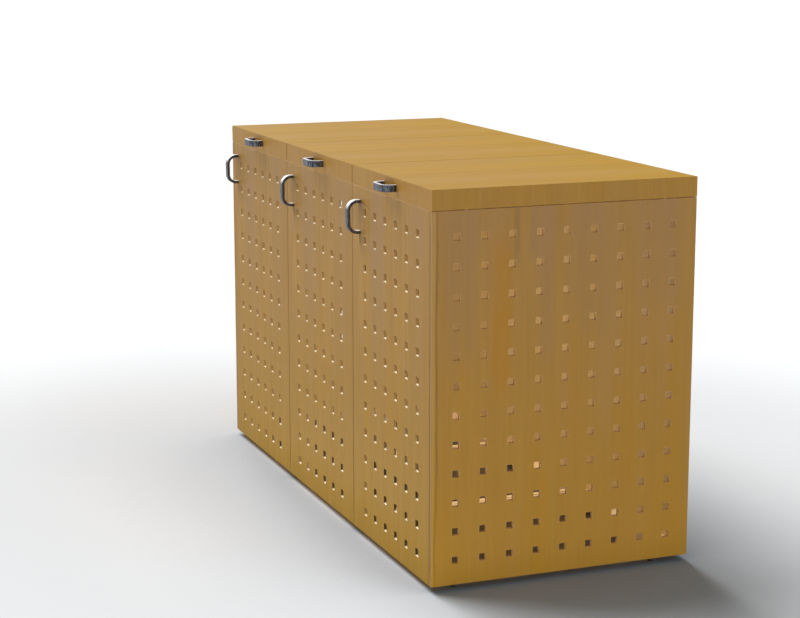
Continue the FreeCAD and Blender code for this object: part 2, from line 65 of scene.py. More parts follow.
def lin(r, g, b):
    """sRGB 0-255 to linear."""
    out = []
    for c in (r, g, b):
        c /= 255.0
        out.append(c / 12.92 if c <= 0.04045 else ((c + 0.055) / 1.055) ** 2.4)
    return (*out, 1.0)


# ------------------------------------------------------------------ materials
class Net:
    def __init__(self, name):
        self.mat = bpy.data.materials.new(name)
        self.mat.use_nodes = True
        self.nt = self.mat.node_tree
        self.nt.nodes.clear()
        self.out = self.nt.nodes.new("ShaderNodeOutputMaterial")
        self.bsdf = self.nt.nodes.new("ShaderNodeBsdfPrincipled")
        self.nt.links.new(self.bsdf.outputs[0], self.out.inputs[0])
        self.tc = self.nt.nodes.new("ShaderNodeTexCoord")

    def link(self, a, b):
        self.nt.links.new(a, b)

    def put(self, sock, value):
        if isinstance(value, bpy.types.NodeSocket):
            self.link(value, sock)
        else:
            sock.default_value = value

    def mapping(self, scale, rot=(0, 0, 0), loc=(0, 0, 0), src=None):
        m = self.nt.nodes.new("ShaderNodeMapping")
        m.inputs["Scale"].default_value = scale
        m.inputs["Rotation"].default_value = rot
        m.inputs["Location"].default_value = loc
        self.link(src or self.tc.outputs["Object"], m.inputs["Vector"])
        return m.outputs[0]

    def noise(self, vec, scale, detail=3.0, rough=0.5, dist=0.0, lac=2.0):
        n = self.nt.nodes.new("ShaderNodeTexNoise")
        self.link(vec, n.inputs["Vector"])
        n.inputs["Scale"].default_value = scale
        n.inputs["Detail"].default_value = detail
        n.inputs["Roughness"].default_value = rough
        n.inputs["Distortion"].default_value = dist
        n.inputs["Lacunarity"].default_value = lac
        return n.outputs[0]

    def voronoi(self, vec, scale, feature="F1"):
        n = self.nt.nodes.new("ShaderNodeTexVoronoi")
        n.feature = feature
        self.link(vec, n.inputs["Vector"])
        n.inputs["Scale"].default_value = scale
        return n.outputs[0]

    def ramp(self, fac, stops, mode="LINEAR"):
        r = self.nt.nodes.new("ShaderNodeValToRGB")
        r.color_ramp.interpolation = mode
        els = r.color_ramp.elements
        while len(els) > 1:
            els.remove(els[-1])
        els[0].position = stops[0][0]
        els[0].color = stops[0][1]
        for p, c in stops[1:]:
            e = els.new(p)
            e.color = c
        self.link(fac, r.inputs[0])
        return r.outputs[0]

    def rng(self, fac, a, b, c=0.0, d=1.0, smooth=False):
        r = self.nt.nodes.new("ShaderNodeMapRange")
        if smooth:
            r.interpolation_type = "SMOOTHSTEP"
        self.link(fac, r.inputs[0])
        for i, v in ((1, a), (2, b), (3, c), (4, d)):
            r.inputs[i].default_value = v
        return r.outputs[0]

    def math(self, op, a, b=0.0, clamp=False):
        m = self.nt.nodes.new("ShaderNodeMath")
        m.operation = op
        m.use_clamp = clamp
        self.put(m.inputs[0], a)
        self.put(m.inputs[1], b)
        return m.outputs[0]

    def mix(self, fac, a, b, mode="MIX"):
        m = self.nt.nodes.new("ShaderNodeMix")
        m.data_type = "RGBA"
        m.blend_type = mode
        m.clamp_result = True
        self.put(m.inputs[0], fac)
        self.put(m.inputs[6], a)
        self.put(m.inputs[7], b)
        return m.outputs[2]

    def split(self, vec):
        s = self.nt.nodes.new("ShaderNodeSeparateXYZ")
        self.link(vec, s.inputs[0])
        return s.outputs

    def bump(self, height, strength, distance, normal=None):
        b = self.nt.nodes.new("ShaderNodeBump")
        b.inputs["Strength"].default_value = strength
        b.inputs["Distance"].default_value = distance
        self.link(height, b.inputs["Height"])
        if normal is not None:
            self.link(normal, b.inputs["Normal"])
        return b.outputs[0]


GREY1 = (0.5, 0.5, 0.5, 1)


def wood(name, light, dark, warm, cool, grain="z", face=None, edge=None, reveal=None, seed=0.0, band=1.0, bands=(),
         light_and_tone_ramp=None, ramp_axis=2, dim=None, crown=None, rough=0.46, spec=0.18, shift=0.0, across="x", contrast=1.0, outer=None, vent_light=None):
    """Straight-grained veneer or planed timber. grain is the axis it runs along and face the axis of the board's
    thickness: cut faces that look up out of the board's plane take the edge colour, a painted highlight for the
    light falling on them over the pale colour of the cut ply, and the other cut faces take the reveal colour. bands
    are (place across, half width, z low, z high, amount, colour)."""
    n = Net(name)
    along = {"x": 0, "y": 1, "z": 2}[grain]
    ac = {"x": 0, "y": 1, "z": 2}[across]
    pos_v = n.mapping((1, 1, 1), loc=tuple(-shift if k == ac else 0.0 for k in range(3)))
    pos = n.split(pos_v)

    def stretched(a, loc):
        s = [1.0, 1.0, 1.0]
        s[along] = a
        return n.mapping(tuple(s), loc=loc, src=pos_v)

    slow = n.noise(stretched(0.30, (seed, seed * 0.7, seed * 1.3)), 3.2, 2.0, 0.5)
    fine = n.noise(stretched(0.022, (seed * 1.7, seed, seed)), 330.0, 4.0, 0.62, 0.0)
    mid = n.noise(stretched(0.040, (seed, seed * 3.1, seed)), 62.0, 5.0, 0.62, 0.6)
    wide = n.noise(stretched(0.10, (seed * 0.3, seed * 1.9, 2.0)), 17.0, 3.0, 0.55, 0.2)
    pores = n.noise(stretched(0.035, (seed, 0, seed)), 1150.0, 2.0, 0.5)
    fibre = n.math("ADD", n.math("MULTIPLY", fine, 0.38), n.math("MULTIPLY", mid, 0.62))
    base = n.mix(n.rng(fibre, 0.5 - 0.20 / contrast, 0.5 + 0.20 / contrast), dark, light)
    # broad drifts of tone: warm and cool leaves within the veneer
    base = n.mix(n.rng(wide, 0.50, 0.72, 0.0, 0.70 * band, True), base, warm)
    other = n.noise(stretched(0.16, (seed + 5.0, 3.0, seed)), 10.0, 2.5, 0.5)
    base = n.mix(n.rng(other, 0.50, 0.74, 0.0, 0.75 * band, True), base, cool)
    base = n.mix(n.rng(slow, 0.35, 0.70, 0.0, 0.22 * band), base, n.mix(0.5, warm, dark))
    # named leaves and stains, with edges that wander along the grain
    drift = n.math("MULTIPLY", n.math("SUBTRACT", mid, 0.5), 0.020)
    sway = n.math("MULTIPLY", n.math("SUBTRACT", slow, 0.5), 0.030)
    for where, half, z0, z1, amount, colour in bands:
        d = n.math("ABSOLUTE", n.math("SUBTRACT", n.math("ADD", n.math("ADD", pos[ac], drift), sway), where))
        f = n.rng(d, half * 0.45, half * 1.25, 1.0, 0.0, True)
        soft = 0.16 * abs(z1 - z0)
        fz = n.math("MULTIPLY", n.rng(pos[2], z0 - soft, z0 + soft, 0.0, 1.0, True), n.rng(pos[2], z1 - soft, z1 + soft, 1.0, 0.0, True))
        patchy = n.rng(n.noise(stretched(0.30, (where, seed, 1.0)), 26.0, 3.0, 0.6), 0.30, 0.62, 0.55, 1.0)
        base = n.mix(n.math("MULTIPLY", n.math("MULTIPLY", n.math("MULTIPLY", f, fz), patchy), amount), base, colour)
    # dark pores and hairlines
    base = n.mix(n.rng(pores, 0.60, 0.78, 0.0, 0.16), base, n.mix(0.6, dark, lin(70, 45, 20)))
    line = n.noise(stretched(0.010, (seed, seed * 4.0, 1.0)), 190.0, 2.0, 0.5, 0.0)
    base = n.mix(n.rng(line, 0.63, 0.74, 0.0, 0.18), base, dark)
    if light_and_tone_ramp is not None:
        # a colour multiplier ramps along the board from its foot or front to its top or back: on the doors and side
        # boards the foot is yellower and lighter, the lightening being painted light for bounce light missing low
        # down; on the lid tops the front is bluer than the back
        z0, z1, top, foot = light_and_tone_ramp
        g = n.rng(pos[ramp_axis], z0, z1, 0.0, 1.0)
        base = n.mix(1.0, base, n.mix(g, foot, top), "MULTIPLY")
    rough_f = n.rng(fibre, 0.3, 0.7, rough + 0.07, rough - 0.05)
    height = n.math("ADD", n.math("MULTIPLY", fine, 0.5), n.math("MULTIPLY", pores, 0.5))
    if face is not None:
        nrm = n.split(n.tc.outputs["Normal"])
        ax = {"x": 0, "y": 1, "z": 2}[face]
        flat = n.rng(n.math("ABSOLUTE", nrm[ax]), 0.74, 0.92, 0.0, 1.0)
        speck = n.noise(n.mapping((1, 1, 1)), 900.0, 3.0, 0.6)
        layer = n.noise(n.mapping((1, 1, 1), loc=(seed, 0, 0)), 260.0, 3.0, 0.6)
        side = n.mix(n.rng(layer, 0.38, 0.66, 0.0, 0.25), reveal, dark)
        if vent_light is not None:
            # painted light: the cut faces of the vents, inside the board's outline, take a paler colour that cancels
            # the shade falling inside the vents
            side = n.mix(n.rng(n.math("ABSOLUTE", pos[1]), 0.395, 0.405, 0.0, 1.0), vent_light, side)
        if dim is not None:
            # painted shade: the cut faces of the vents low on each door, over a patch set per door, are darkened,
            # standing in for the shaded floor seen through the lower vents
            d0, d1, shade_colour, x0, x1 = dim
            low = n.rng(n.math("ADD", pos[2], drift), d0, d1, 1.0, 0.0, True)
            low = n.math("MULTIPLY", low, n.rng(pos[0], x0, x1, 0.0, 1.0))
            low = n.math("MULTIPLY", low, n.rng(pos[0], 0.27, 0.29, 1.0, 0.0))
            side = n.mix(low, side, shade_colour)
        if ax == 2:
            cutc = side
        else:
            if crown is not None:
                # the sawn top edge is toned like the face
                edge_c = n.mix(n.rng(pos[2], crown - 0.004, crown, 0.0, 0.72), edge, n.mix(0.5, light, dark))
            else:
                edge_c = edge
            # painted highlight: cut faces that look up take the paler edge colour
            pale = n.mix(n.rng(speck, 0.40, 0.72, 0.0, 0.16), edge_c, n.mix(0.5, edge_c, light))
            cutc = n.mix(n.rng(nrm[2], 0.25, 0.55, 0.0, 1.0), side, pale)
        if outer is not None:
            # painted light: the board's palette is pale so its inner face reads as lit within the bays, and the
            # faces looking along the face axis, its outer face, are multiplied back down towards the tone of the
            # other boards
            base = n.mix(n.rng(nrm[ax], 0.5, 0.9, 0.0, 1.0), base, n.mix(1.0, base, outer, "MULTIPLY"))
        base = n.mix(flat, cutc, base)
    n.link(base, n.bsdf.inputs["Base Color"])
    n.link(rough_f, n.bsdf.inputs["Roughness"])
    n.bsdf.inputs["Specular IOR Level"].default_value = spec
    n.link(n.bump(height, 0.35, 0.00025), n.bsdf.inputs["Normal"])
    return n.mat


def metal(name, colour, rough, brushed=None, tint=None, scale=900.0, spread=0.10, bump=0.04, smudge=0.5, side=None):
    n = Net(name)
    if brushed:
        s = [1.0, 1.0, 1.0]
        s[{"x": 0, "y": 1, "z": 2}[brushed]] = 0.02
        vec = n.mapping(tuple(s))
    else:
        vec = n.mapping((1, 1, 1))
    lines = n.noise(vec, scale, 3.0, 0.6)
    cloud = n.noise(n.mapping((1, 1, 1), loc=(1.7, 0.3, 0.9)), 26.0, 3.0, 0.55)
    drops = n.noise(n.mapping((1, 1, 1), loc=(0.7, 0.3, 0.2)), 210.0, 2.0, 0.5)
    base = n.mix(n.rng(lines, 0.3, 0.7, 0.0, 0.5), colour, tint or colour)
    base = n.mix(n.rng(cloud, 0.45, 0.75, 0.0, 0.22), base, n.mix(0.5, colour, (0.12, 0.12, 0.13, 1)))
    if side is not None:
        # painted highlight: faces that look up are mixed towards white and made less metallic; painted reflection:
        # the faces round them are darkened as if mirroring dark surroundings, and finely lined
        up = n.split(n.tc.outputs["Normal"])[2]
        ribs = n.noise(n.mapping((1.0, 1.0, 0.12)), 420.0, 2.0, 0.4)
        painted_dark_sides = n.mix(n.rng(ribs, 0.42, 0.58), n.mix(0.45, side, (0.02, 0.02, 0.03, 1)), n.mix(0.18, side, colour))
        painted_highlight = n.rng(up, 0.08, 0.42, 0.0, 1.0)
        base = n.mix(painted_highlight, painted_dark_sides, n.mix(0.6, base, (1.0, 1.0, 1.0, 1)))
    n.link(base, n.bsdf.inputs["Base Color"])
    n.bsdf.inputs["Metallic"].default_value = 1.0
    if side is not None:
        n.link(n.rng(painted_highlight, 0.0, 1.0, 0.9, 0.05), n.bsdf.inputs["Metallic"])
        rough = rough + 0.16
    r = n.math("ADD", n.rng(lines, 0.3, 0.7, rough, rough + spread), n.rng(n.math("MULTIPLY", cloud, drops), 0.18, 0.40, 0.0, 0.10 * smudge))
    n.link(r, n.bsdf.inputs["Roughness"])
    n.link(n.bump(lines, bump, 0.0001), n.bsdf.inputs["Normal"])
    return n.mat


def coated(name, colour, worn, rough=0.45, scale=520.0):
    """Powder-coated or anodised metal with rubbed high spots."""
    n = Net(name)
    peel = n.noise(n.mapping((1, 1, 1)), scale, 3.0, 0.5)
    cloud = n.noise(n.mapping((1, 1, 0.25), loc=(3.1, 0.4, 0.2)), 34.0, 4.0, 0.6)
    n.link(n.mix(n.rng(cloud, 0.52, 0.80, 0.0, 0.5), colour, worn), n.bsdf.inputs["Base Color"])
    n.bsdf.inputs["Metallic"].default_value = 0.6
    n.link(n.rng(peel, 0.3, 0.7, rough - 0.06, rough + 0.10), n.bsdf.inputs["Roughness"])
    n.link(n.bump(peel, 0.12, 0.0002), n.bsdf.inputs["Normal"])
    return n.mat


def plastic(name, colour, dusty, rough=0.5, sheen=0.0, scale=1400.0, trans=0.0):
    n = Net(name)
    grain = n.noise(n.mapping((1, 1, 1)), scale, 2.0, 0.5)
    dust = n.noise(n.mapping((1, 1, 1), loc=(0.2, 1.1, 3.0)), 60.0, 4.0, 0.6)
    n.link(n.mix(n.rng(dust, 0.45, 0.78, 0.0, 0.45), colour, dusty), n.bsdf.inputs["Base Color"])
    n.link(n.rng(grain, 0.3, 0.7, rough - 0.05, rough + 0.12), n.bsdf.inputs["Roughness"])
    n.bsdf.inputs["Specular IOR Level"].default_value = 0.4
    n.bsdf.inputs["Subsurface Weight"].default_value = trans
    n.bsdf.inputs["Subsurface Radius"].default_value = (0.004, 0.003, 0.002)
    n.link(n.bump(grain, 0.15, 0.0001), n.bsdf.inputs["Normal"])
    return n.mat


CREAM = lin(255, 240, 205)
VEIL = (1.0, 1.0, 1.0, 1)
DOOR = dict(light=lin(188, 143, 73), dark=lin(170, 126, 56), warm=lin(186, 137, 48), cool=lin(181, 138, 82))
SIDE = dict(light=lin(194, 149, 76), dark=lin(176, 131, 62), warm=lin(190, 140, 48), cool=lin(184, 141, 90))
TOP = dict(light=lin(198, 156, 80), dark=lin(188, 145, 66), warm=lin(198, 152, 58), cool=lin(196, 156, 92))
PALE = dict(light=lin(230, 196, 140), dark=lin(206, 168, 112), warm=lin(226, 182, 116), cool=lin(216, 190, 150))
MAUVE = lin(174, 134, 90)
GOLD = lin(186, 138, 44)
OLIVE = lin(160, 124, 52)
EARTH = lin(142, 106, 66)

TOP_BANDS = ((-0.270, 0.030, 0.9, 1.5, 0.36, lin(188, 148, 92)), (-0.120, 0.045, 0.9, 1.5, 0.28, lin(202, 152, 60)), (0.040, 0.020, 0.9, 1.5, 0.32, lin(180, 136, 74)),
             (0.150, 0.050, 0.9, 1.5, 0.32, lin(196, 154, 100)), (0.270, 0.030, 0.9, 1.5, 0.28, lin(190, 142, 58)), (-0.020, 0.006, 0.9, 1.5, 0.45, lin(160, 118, 60)))

# painted shade per door: (z low, z high, colour, x low, x high) of a patch where the vent cut faces are darkened,
# standing in for the shaded floor seen through the lower vents
VENT_SHADE = ((0.16, 0.24, lin(104, 82, 58), 0.088, 0.178), (0.24, 0.36, lin(96, 76, 54), -0.130, -0.040), (0.28, 0.44, lin(90, 70, 50), -0.208, -0.148))

MAT = {}
for i, s in enumerate(SIDES):
    mid_x = (-0.678, 0.0, 0.678)[i]
    # each door is faced from the same flitch, so the leaves fall in the same places
    # painted light: the door reveal colour is lightened, so the shaded sides of the vents read about as light as the
    # face
    MAT["door_panel_" + s] = wood("door_veneer_" + s, **DOOR, grain="z", face="y", edge=CREAM, crown=1.162, reveal=lin(190, 156, 106), dim=VENT_SHADE[i], contrast=1.15, seed=1.3, shift=mid_x, across="x",
                                  light_and_tone_ramp=(0.05, 1.15, ((0.93, 0.93, 0.82, 1), (0.95, 0.95, 0.90, 1), (0.97, 0.97, 0.96, 1))[i], (1.10, 1.00, 0.14, 1)),
                                  bands=((-0.205, 0.022, 0.10, 1.16, 0.85, GOLD), (-0.186, 0.005, 0.98, 1.18, 0.65, OLIVE),
                                         (-0.110, 0.065, 0.62, 1.25, 0.65, MAUVE), (-0.030, 0.004, 0.90, 1.20, 0.50, OLIVE),
                                         (-0.262, 0.025, 0.70, 1.02, 0.45, lin(192, 146, 76)), (0.060, 0.05, 0.30, 0.95, 0.40, GOLD),
                                         (0.235, 0.060, 0.55, 1.20, 0.45, MAUVE)))
    MAT["lid_top_" + s] = wood("lid_veneer_" + s, **TOP, grain="y", face="z", edge=CREAM, reveal=lin(190, 152, 88), seed=4.1, shift=mid_x, band=0.6,
                               rough=0.55, spec=0.08, contrast=1.0, bands=TOP_BANDS, light_and_tone_ramp=(-0.45, 0.45, (1.0, 1.0, 0.70, 1), (0.97, 0.99, 1.35, 1)), ramp_axis=1)
    MAT["lid_rim_" + s] = wood("rim_veneer_" + s, light=lin(190, 143, 63), dark=lin(173, 127, 49), warm=lin(188, 137, 44), cool=lin(182, 137, 71),
                               grain="z", seed=7.7, shift=mid_x, band=0.7)
SIDE_BANDS = ((-0.198, 0.036, 0.62, 1.06, 0.85, lin(190, 134, 40)), (-0.150, 0.0120, 1.00, 1.26, 0.44, lin(124, 100, 68)), (-0.092, 0.014, 1.02, 1.22, 0.28, lin(152, 124, 92)),
              (-0.415, 0.006, 0.0, 1.5, 0.45, lin(214, 172, 104)), (-0.404, 0.003, 0.0, 1.5, 0.45, lin(120, 88, 46)), (0.230, 0.040, 0.05, 0.60, 0.45, GOLD),
              (-0.330, 0.060, 0.70, 1.20, 0.45, MAUVE), (-0.045, 0.028, 0.70, 1.20, 0.60, MAUVE), (0.110, 0.075, 0.78, 1.22, 0.40, MAUVE),
              (0.330, 0.080, 0.85, 1.22, 0.40, MAUVE), (0.05, 0.020, 0.45, 0.85, 0.40, GOLD), (0.390, 0.030, 0.05, 0.75, 0.45, GOLD))
MAT["side_panel_right"] = wood("side_veneer_right", **SIDE, grain="z", face="x", edge=lin(206, 166, 108), reveal=lin(184, 144, 84), vent_light=lin(236, 198, 142), contrast=0.7, seed=11.2, band=0.8, across="y",
                               light_and_tone_ramp=(0.05, 1.15, (0.80, 0.79, 0.90, 1), (0.99, 0.95, 0.44, 1)), bands=SIDE_BANDS)
MAT["side_panel_left"] = wood("side_veneer_left", **SIDE, grain="z", face="x", edge=lin(206, 166, 108), reveal=lin(196, 154, 92), contrast=0.85, seed=23.2, band=0.8, across="y",
                              light_and_tone_ramp=(0.05, 1.15, (0.95, 0.94, 1.0, 1), (1.04, 1.02, 0.60, 1)),
                              bands=((0.19, 0.05, 0.30, 1.0, 0.7, GOLD), (-0.12, 0.05, 0.6, 1.2, 0.5, MAUVE), (0.02, 0.006, 0.90, 1.2, 0.6, EARTH)))
# painted light: the back board's pale palette stands in for light inside the bays, seen through the vents; its outer
# face is toned back down
MAT["back_panel"] = wood("back_veneer", light=lin(206, 178, 118), dark=lin(192, 160, 100), warm=lin(212, 168, 88), cool=lin(200, 168, 122),
                         grain="z", face="y", edge=CREAM, reveal=lin(206, 170, 112), seed=31.0, band=0.8, outer=(0.92, 0.72, 0.46, 1),
                         bands=((-0.6, 0.10, -0.5, 2.0, 0.25, GOLD), (0.3, 0.14, -0.5, 2.0, 0.25, GOLD), (0.72, 0.09, -0.5, 2.0, 0.22, MAUVE)))
BATTEN_Z = wood("batten_upright", **PALE, grain="z", seed=41.0, band=0.8, rough=0.52, spec=0.3)
BATTEN_X = wood("batten_across", **PALE, grain="x", seed=43.0, band=0.8, rough=0.52, spec=0.3)
BATTEN_Y = wood("batten_deep", **PALE, grain="y", seed=47.0, band=0.8, rough=0.52, spec=0.3)
# the handles' steel carries a painted highlight on faces that look up and a painted dark reflection on the others
STEEL = metal("polished_steel", (0.90, 0.91, 0.93, 1), 0.22, tint=(0.74, 0.75, 0.79, 1), scale=1400.0, spread=0.10, side=(0.066, 0.074, 0.096, 1))
ZINC = metal("zinc_plate", (0.62, 0.63, 0.64, 1), 0.30, tint=(0.50, 0.52, 0.55, 1), scale=700.0)
HINGE_S = metal("stainless_wing", (0.58, 0.59, 0.60, 1), 0.30, brushed="x", tint=(0.46, 0.47, 0.49, 1))
BRONZE = coated("bronze_coat", lin(146, 110, 62), lin(166, 130, 82))
NYLON = plastic("grey_nylon", lin(112, 110, 107), lin(92, 90, 87), 0.5)
CATCH = plastic("brown_catch", lin(120, 92, 62), lin(146, 122, 92), 0.42)
BUTTON = plastic("soft_button", lin(214, 190, 150), lin(226, 208, 176), 0.38, trans=0.3)

for name in ("base_rail_rear", "top_rail_front", "top_rail_rear"):
    MAT[name] = BATTEN_X
for name in ("base_rail_left", "base_rail_right", "base_rail_divider_left", "base_rail_divider_right",
             "top_rail_left", "top_rail_right", "top_rail_divider_left", "top_rail_divider_right"):
    MAT[name] = BATTEN_Y
for name in ("post_front_left", "post_divider_left", "post_divider_right"):
    MAT[name] = BATTEN_Z
MAT["foot_pads"] = NYLON
MAT["foot_studs"] = ZINC
MAT["lid_bumpers"] = BUTTON
MAT["door_catches"] = CATCH
MAT["door_hinge_pins"] = BRONZE
MAT["lid_hinge_pins"] = HINGE_S
for s in SIDES:
    for n_ in ("door_hinge_fixed_", "door_hinge_moving_"):
        MAT[n_ + s] = BRONZE
    for n_ in ("lid_hinge_fixed_", "lid_hinge_moving_"):
        MAT[n_ + s] = HINGE_S
    for n_ in ("door_handle_", "lid_handle_"):
        MAT[n_ + s] = STEEL
    for n_ in ("door_handle_screws_", "lid_handle_screws_", "door_strike_"):
        MAT[n_ + s] = ZINC

for name, obj in NODES.items():
    mat = MAT[name]
    obj.data.materials.clear()
    obj.data.materials.append(mat)


def ease(name, width, segments=2, angle=35.0):
    """Small eased edges on a machined or sawn part, in a modifier."""
    obj = NODES[name]
    w = obj.modifiers.new("weld", "WELD")
    w.merge_threshold = 0.00002
    b = obj.modifiers.new("ease", "BEVEL")
    b.width = width
    b.segments = segments
    b.limit_method = "ANGLE"
    b.angle_limit = math.radians(angle)
    b.harden_normals = True
    b.miter_outer = "MITER_ARC"


for name in NODES:
    if name.startswith(("base_rail", "top_rail", "post_")):
        ease(name, 0.0015)
for s in SIDES:
    ease("door_handle_" + s, 0.0044, 4)
    ease("lid_handle_" + s, 0.0026, 3)
    ease("door_panel_" + s, 0.0012, 1)
    ease("lid_rim_" + s, 0.0006, 1)
    ease("lid_top_" + s, 0.0008, 1)
for name in ("side_panel_left", "side_panel_right", "back_panel"):
    ease(name, 0.0012, 1)

# ------------------------------------------------------------------ small parts
def new_piece(name, bm, mat, body, smooth=None):
    me = bpy.data.meshes.new(name)
    bm.to_mesh(me)
    bm.free()
    ob = bpy.data.objects.new(name, me)
    scene.collection.objects.link(ob)
    me.materials.append(mat)
    if smooth is not None:
        for p in me.polygons:
            p.use_smooth = True
        me.set_sharp_from_angle(angle=math.radians(smooth))
    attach(ob, body)
    return ob


def lathe(bm, loops, at, way, seg=24):
    """Closed solid from loops (radius, height, lobe): radius may swell six times round."""
    way = Vector(way).normalized()
    rot = Vector((0, 0, 1)).rotation_difference(way).to_matrix()
    at = Vector(at)
    rings = []
    for r, h, lobe in loops:
        ring = []
        for k in range(seg):
            a = 2 * math.pi * k / seg
            rr = r * (1.0 + lobe * math.cos(6 * a))
            ring.append(bm.verts.new(at + rot @ Vector((rr * math.cos(a), rr * math.sin(a), h))))
        rings.append(ring)
    for a, b in zip(rings, rings[1:]):
        for k in range(seg):
            bm.faces.new((a[k], a[(k + 1) % seg], b[(k + 1) % seg], b[k]))
    bm.faces.new(list(reversed(rings[0])))
    bm.faces.new(rings[-1])


def countersunk(bm, at, way, r=0.0040, proud=0.0006):
    """Raised countersunk screw head with a six-lobe recess."""
    lathe(bm, [(r * 0.98, -0.0002, 0), (r, proud * 0.35, 0), (r * 0.86, proud * 0.85, 0), (r * 0.62, proud, 0),
               (r * 0.42, proud, 0.14), (r * 0.38, -0.0001, 0.14), (r * 0.12, -0.0001, 0.0)], at, way)


def screws(name, spots, body, mat, r=0.0040, proud=0.0006):
    bm = bmesh.new()
    for at, way in spots:
        countersunk(bm, at, way, r, proud)
    return new_piece(name, bm, mat, body, smooth=40)


def mid(a, b, n):
    return [a + (b - a) * (k + 0.5) / n for k in range(n)]


# screws through the wings of the lid hinges and of the door hinges
for s in SIDES:
    lo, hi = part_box("lid_hinge_fixed_" + s)
    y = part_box("lid_rim_" + s)[1][1] + 0.0012
    xs = mid(lo[0], hi[0], 10)
    screws("lid_hinge_screws_fixed_" + s, [((x, y, lo[2] + 0.012), (0, 1, 0)) for x in xs], "cabinet", ZINC, 0.0042, 0.0006)
    lo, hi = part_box("lid_hinge_moving_" + s)
    screws("lid_hinge_screws_moving_" + s, [((x, y, hi[2] - 0.012), (0, 1, 0)) for x in xs], "lid_" + s, ZINC, 0.0042, 0.0006)
    lo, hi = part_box("door_hinge_moving_" + s)
    zs = [lo[2] + 0.028 + k * (hi[2] - lo[2] - 0.056) / 9 for k in range(10)]
    screws("door_hinge_screws_moving_" + s, [((lo[0] + 0.010, hi[1], z), (0, 1, 0)) for z in zs], "door_" + s, BRONZE, 0.0034, 0.0006)
    lo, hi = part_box("door_hinge_fixed_" + s)
    screws("door_hinge_screws_fixed_" + s, [((hi[0] - 0.001, hi[1] - 0.010, z), (-1, 0, 0)) for z in zs], "cabinet", BRONZE, 0.0034, 0.0006)

# screws that hold the battens to the boards, seen from inside
spots = []
for name, face in (("top_rail_left", 1), ("top_rail_right", -1)):
    lo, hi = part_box(name)
    x = hi[0] if face > 0 else lo[0]
    spots += [((x, y, (lo[2] + hi[2]) / 2), (face, 0, 0)) for y in mid(lo[1], hi[1], 5)]
lo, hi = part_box("top_rail_rear")
spots += [((x, lo[1], (lo[2] + hi[2]) / 2), (0, -1, 0)) for x in mid(lo[0], hi[0], 12) if abs(abs(x) - 0.339) > 0.03]
lo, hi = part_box("base_rail_rear")
spots += [((x, lo[1] + 0.030, hi[2]), (0, 0, 1)) for x in mid(lo[0], hi[0], 12) if abs(abs(x) - 0.339) > 0.04]
for name in ("base_rail_left", "base_rail_right"):
    lo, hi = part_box(name)
    inner = 0.012 if name.endswith("left") else -0.012
    x = (hi[0] - inner) if name.endswith("left") else (lo[0] - inner)
    spots += [((x, y, hi[2]), (0, 0, 1)) for y in mid(lo[1] + 0.05, hi[1], 5)]
for name, face in (("post_front_left", 1), ("post_divider_left", 1), ("post_divider_right", 1)):
    lo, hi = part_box(name)
    zs = [lo[2] + 0.04, lo[2] + 0.38, lo[2] + 0.70, hi[2] - 0.04]
    spots += [((hi[0], hi[1] - 0.012, z), (face, 0, 0)) for z in zs]
screws("batten_screws", spots, "cabinet", ZINC, 0.0046, 0.0007)

# lock nuts and washers on the levelling studs
bm = bmesh.new()
pads = []
for x in (-0.975, -0.339, 0.339, 0.975):
    for sy in (-1, 1):
        pads.append((x, sy * 0.34 + 0.0193))
for x, y in pads:
    hexr = 0.0088
    prof = [(0.0078, 0.0125), (hexr, 0.0134), (hexr, 0.0176), (0.0078, 0.0184)]
    rings = []
    for r, z in prof:
        rings.append([bm.verts.new((x + r * math.cos(math.pi * k / 3 + 0.3), y + r * math.sin(math.pi * k / 3 + 0.3), z)) for k in range(6)])
    inner = []
    for z in (0.0184, 0.0125):
        inner.append([bm.verts.new((x + 0.0051 * math.cos(math.pi * k / 3 + 0.3), y + 0.0051 * math.sin(math.pi * k / 3 + 0.3), z)) for k in range(6)])
    allr = rings + inner
    for a, b in zip(allr, allr[1:] + allr[:1]):
        for k in range(6):
            bm.faces.new((a[k], a[(k + 1) % 6], b[(k + 1) % 6], b[k]))
    lathe_r = [(0.0052, 0.0184), (0.0105, 0.0184), (0.0105, 0.0199), (0.0052, 0.0199)]
    rr = [[bm.verts.new((x + r * math.cos(2 * math.pi * k / 24), y + r * math.sin(2 * math.pi * k / 24), z)) for k in range(24)] for r, z in lathe_r]
    for a, b in zip(rr, rr[1:] + rr[:1]):
        for k in range(24):
            bm.faces.new((a[k], a[(k + 1) % 24], b[(k + 1) % 24], b[k]))
bmesh.ops.recalc_face_normals(bm, faces=bm.faces)
new_piece("foot_lock_nuts", bm, ZINC, "cabinet", smooth=30)

# pole plates on the magnetic catches
bm = bmesh.new()
for s in SIDES:
    lo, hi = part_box("door_strike_" + s)
    post = lo[0] - 0.001
    y0 = hi[1] + 0.0003
    for dx in (0.0028, 0.0104):
        for z0, z1 in ((lo[2] + 0.006, hi[2] - 0.006),):
            res = bmesh.ops.create_cube(bm, size=1.0)
            cx, cy, cz = post + dx + 0.0009, y0 + 0.0002, (z0 + z1) / 2
            for v in res["verts"]:
                v.co = Vector((cx + v.co.x * 0.0018, cy - 0.00005 + v.co.y * 0.0004, cz + v.co.z * (z1 - z0)))
bmesh.ops.bevel(bm, geom=bm.edges[:], offset=0.00006, segments=1, affect="EDGES")
new_piece("catch_poles", bm, ZINC, "cabinet")

# ------------------------------------------------------------------ stage
def area(name, at, aim, sx, sy, power, colour=(1, 1, 1), spread=180.0):
    d = bpy.data.lights.new(name, "AREA")
    d.shape = "RECTANGLE"
    d.size, d.size_y = sx, sy
    d.energy = power
    d.color = colour
    d.spread = math.radians(spread)
    o = bpy.data.objects.new(name, d)
    scene.collection.objects.link(o)
    o.location = at
    o.rotation_euler = (Vector(aim) - Vector(at)).to_track_quat("-Z", "Y").to_euler()
    return o


